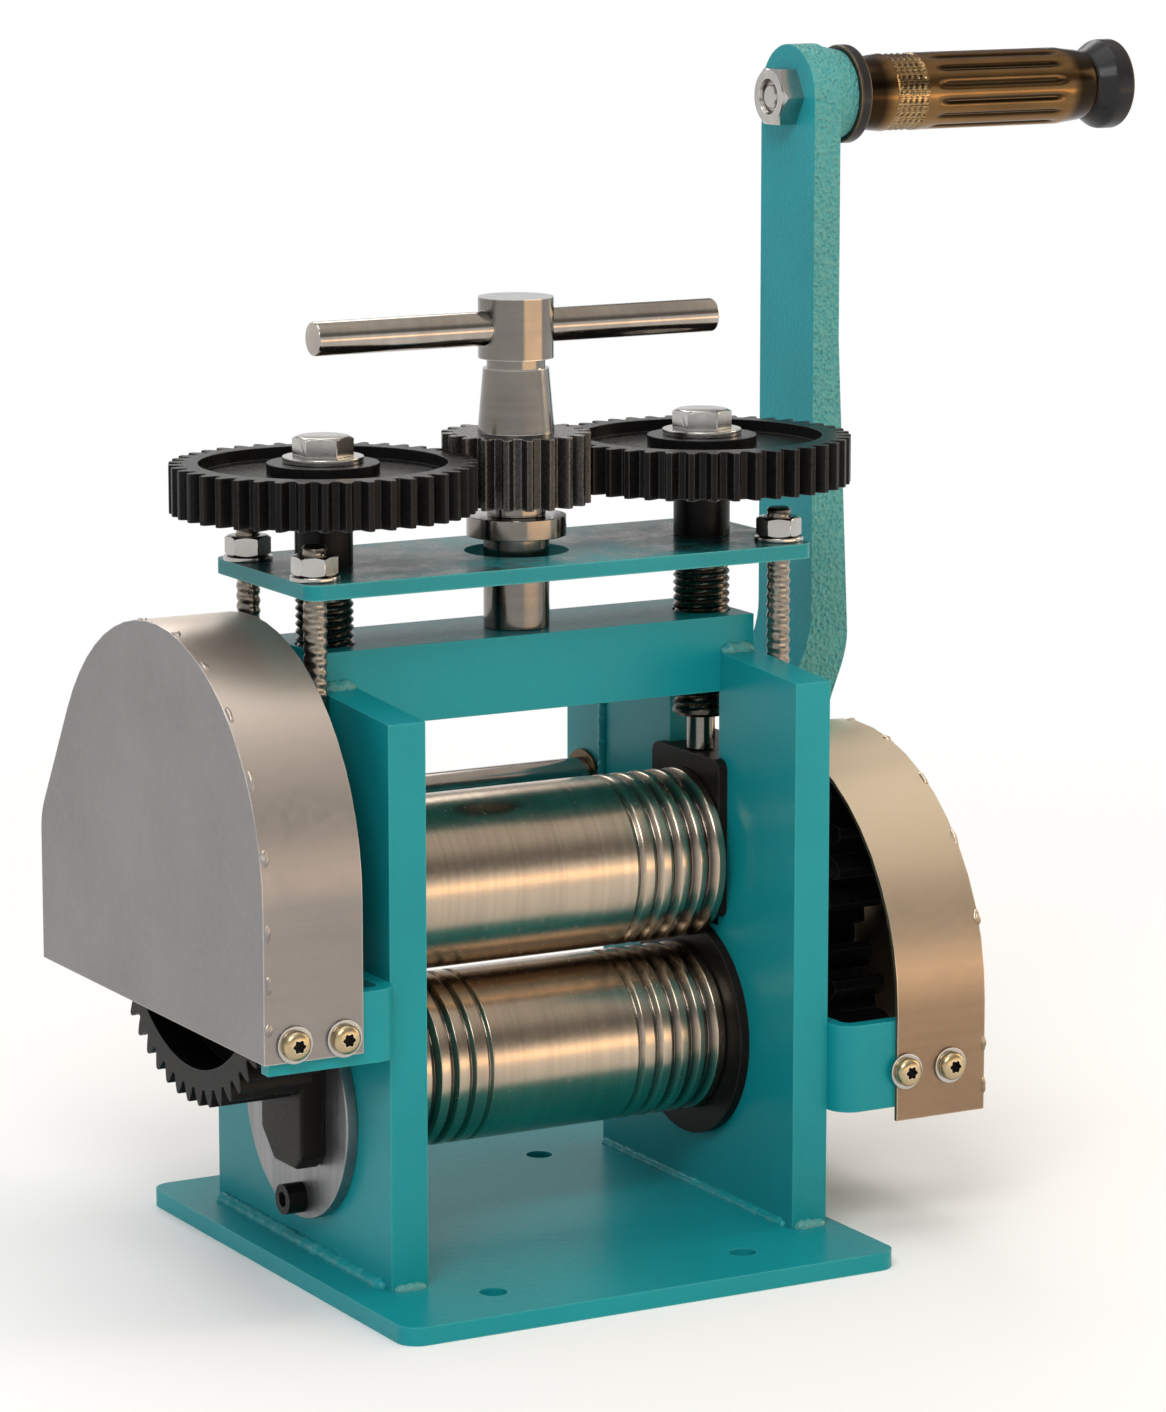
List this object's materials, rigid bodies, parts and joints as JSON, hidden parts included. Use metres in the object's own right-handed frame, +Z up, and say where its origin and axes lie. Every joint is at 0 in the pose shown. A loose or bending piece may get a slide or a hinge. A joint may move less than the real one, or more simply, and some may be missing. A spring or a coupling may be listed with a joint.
{
  "type": "jewellers rolling mill",
  "caption": "Hand-cranked bench rolling mill: welded frame, smooth and grooved rollers, geared tee-bar gap adjustment, sheet gear covers and a long crank with a turning grip.",
  "frame": {"origin": "centre of the four bench-bolt holes on the underside of the base", "axes": "+X along the rollers towards the crank, -Y towards the user who feeds the metal, +Z up"},
  "size_m": [0.4096, 0.1967, 0.3817],
  "materials": {
    "teal_paint": "semi-gloss enamel, thin at the edges",
    "teal_top": "enamel with a worn, oily film",
    "teal_arm": "cast surface under enamel",
    "cover_steel": "brushed sheet",
    "roller_steel": "ground and polished",
    "bright_steel": "turned, lightly worn",
    "zinc_steel": "zinc plated",
    "keeper_steel": "ground, scratched",
    "screw_steel": "oiled thread",
    "brassy_zinc": "yellow passivated zinc",
    "black_oxide": "black oxide, oiled",
    "black_block": "machined, blackened",
    "bush_bronze": "oiled bronze",
    "grip_bronze": "dark bronze, worn",
    "grip_black": "black enamel"
  },
  "bodies": {
    "frame": {"base_plate": "teal_paint", "left_side_plate": "teal_paint", "right_side_plate": "teal_paint", "top_beam": "teal_paint", "shaft_bars": "teal_paint", "left_cover_bracket": "teal_paint", "right_cover_bracket": "teal_paint", "left_gear_cover": "cover_steel", "right_gear_cover": "cover_steel", "cover_screws": "brassy_zinc", "cover_washers": "zinc_steel", "lower_housings": "black_block", "keeper_disc": "keeper_steel", "keeper_screw": "black_oxide", "bearing_cap": "black_block", "crank_bushes": "bush_bronze"},
    "lift": {"top_plate": "teal_top", "lifting_studs": "bright_steel", "stud_nuts": "zinc_steel", "stud_washers": "zinc_steel", "left_bearing_block": "black_block", "right_bearing_block": "black_block", "lifting_lugs": "black_block", "lug_screws": "black_oxide"},
    "upper_bush": {"upper_bushes": "bush_bronze"},
    "upper_roller": {"upper_roller": "roller_steel", "drive_gear": "black_oxide", "upper_roller_gear": "black_oxide", "drive_gear_bolt": "black_oxide", "upper_gear_bolt": "black_oxide"},
    "lower_bush": {"lower_bushes": "bush_bronze"},
    "lower_roller": {"lower_roller": "roller_steel", "lower_roller_gear": "black_oxide", "lower_gear_bolt": "black_oxide"},
    "crank": {"crank_shaft": "bright_steel", "drive_pinion": "black_oxide", "pinion_bolt": "black_oxide", "crank_arm": "teal_arm", "hub_bolt": "black_oxide", "handle_spindle": "bright_steel", "handle_nut": "black_oxide"},
    "grip": {"grip": "grip_bronze", "grip_flange": "grip_black", "grip_end": "grip_black"},
    "adjuster": {"centre_shaft": "bright_steel", "centre_pinion": "black_oxide", "tee_head": "bright_steel", "tee_bar": "bright_steel", "retaining_ring": "black_oxide"},
    "left_screw": {"left_screw": "screw_steel", "left_sleeve": "black_oxide", "left_adjust_gear": "black_oxide", "left_gear_bolt": "black_oxide", "left_gear_washer": "black_oxide"},
    "right_screw": {"right_screw": "screw_steel", "right_sleeve": "black_oxide", "right_adjust_gear": "black_oxide", "right_gear_bolt": "black_oxide", "right_gear_washer": "black_oxide"}
  },
  "joints": [
    {"name": "lift_slide", "type": "slide", "parent": "frame", "child": "lift", "axis": [0, 0, 1], "range_m": [-0.0023, 0.0018]},
    {"name": "adjust_turn", "type": "hinge", "parent": "frame", "child": "adjuster", "pos_m": [0.0064, 0.0114, 0.222], "axis": [0, 0, 1], "range_deg": [-545, 696]},
    {"name": "left_screw_turn", "type": "hinge", "parent": "lift", "child": "left_screw", "pos_m": [-0.0631, 0.0114, 0.222], "axis": [0, 0, 1], "range_deg": [-331.5, 259.5]},
    {"name": "right_screw_turn", "type": "hinge", "parent": "lift", "child": "right_screw", "pos_m": [0.0759, 0.0114, 0.222], "axis": [0, 0, 1], "range_deg": [-331.5, 259.5]},
    {"name": "upper_follow", "type": "hinge", "parent": "lift", "child": "upper_bush", "pos_m": [0.0064, 0.0114, 0.1209], "axis": [1, 0, 0], "range_deg": [-1.72, 2.2]},
    {"name": "lower_follow", "type": "hinge", "parent": "frame", "child": "lower_bush", "pos_m": [0.0064, 0.0114, 0.0617], "axis": [1, 0, 0], "range_deg": [-2.2, 1.72]},
    {"name": "upper_roll", "type": "hinge", "parent": "upper_bush", "child": "upper_roller", "pos_m": [0.0064, 0.0114, 0.1209], "axis": [1, 0, 0], "continuous": true},
    {"name": "lower_roll", "type": "hinge", "parent": "lower_bush", "child": "lower_roller", "pos_m": [0.0064, 0.0114, 0.0617], "axis": [1, 0, 0], "continuous": true},
    {"name": "crank_turn", "type": "hinge", "parent": "frame", "child": "crank", "pos_m": [0.0064, 0.0856, 0.1305], "axis": [1, 0, 0], "continuous": true},
    {"name": "grip_turn", "type": "hinge", "parent": "crank", "child": "grip", "pos_m": [0.0064, 0.0856, 0.364], "axis": [1, 0, 0], "continuous": true}
  ],
  "couplings": [
    {"joint": "adjust_turn", "follows": "lift_slide", "rad_per_m": -5277.9},
    {"joint": "left_screw_turn", "follows": "lift_slide", "rad_per_m": 2513.3},
    {"joint": "right_screw_turn", "follows": "lift_slide", "rad_per_m": 2513.3},
    {"joint": "upper_follow", "follows": "lift_slide", "rad_per_m": -16.412},
    {"joint": "lower_follow", "follows": "lift_slide", "rad_per_m": 16.412},
    {"joint": "upper_roll", "follows": "crank_turn", "ratio": -0.22449},
    {"joint": "lower_roll", "follows": "crank_turn", "ratio": 0.22449}
  ]
}
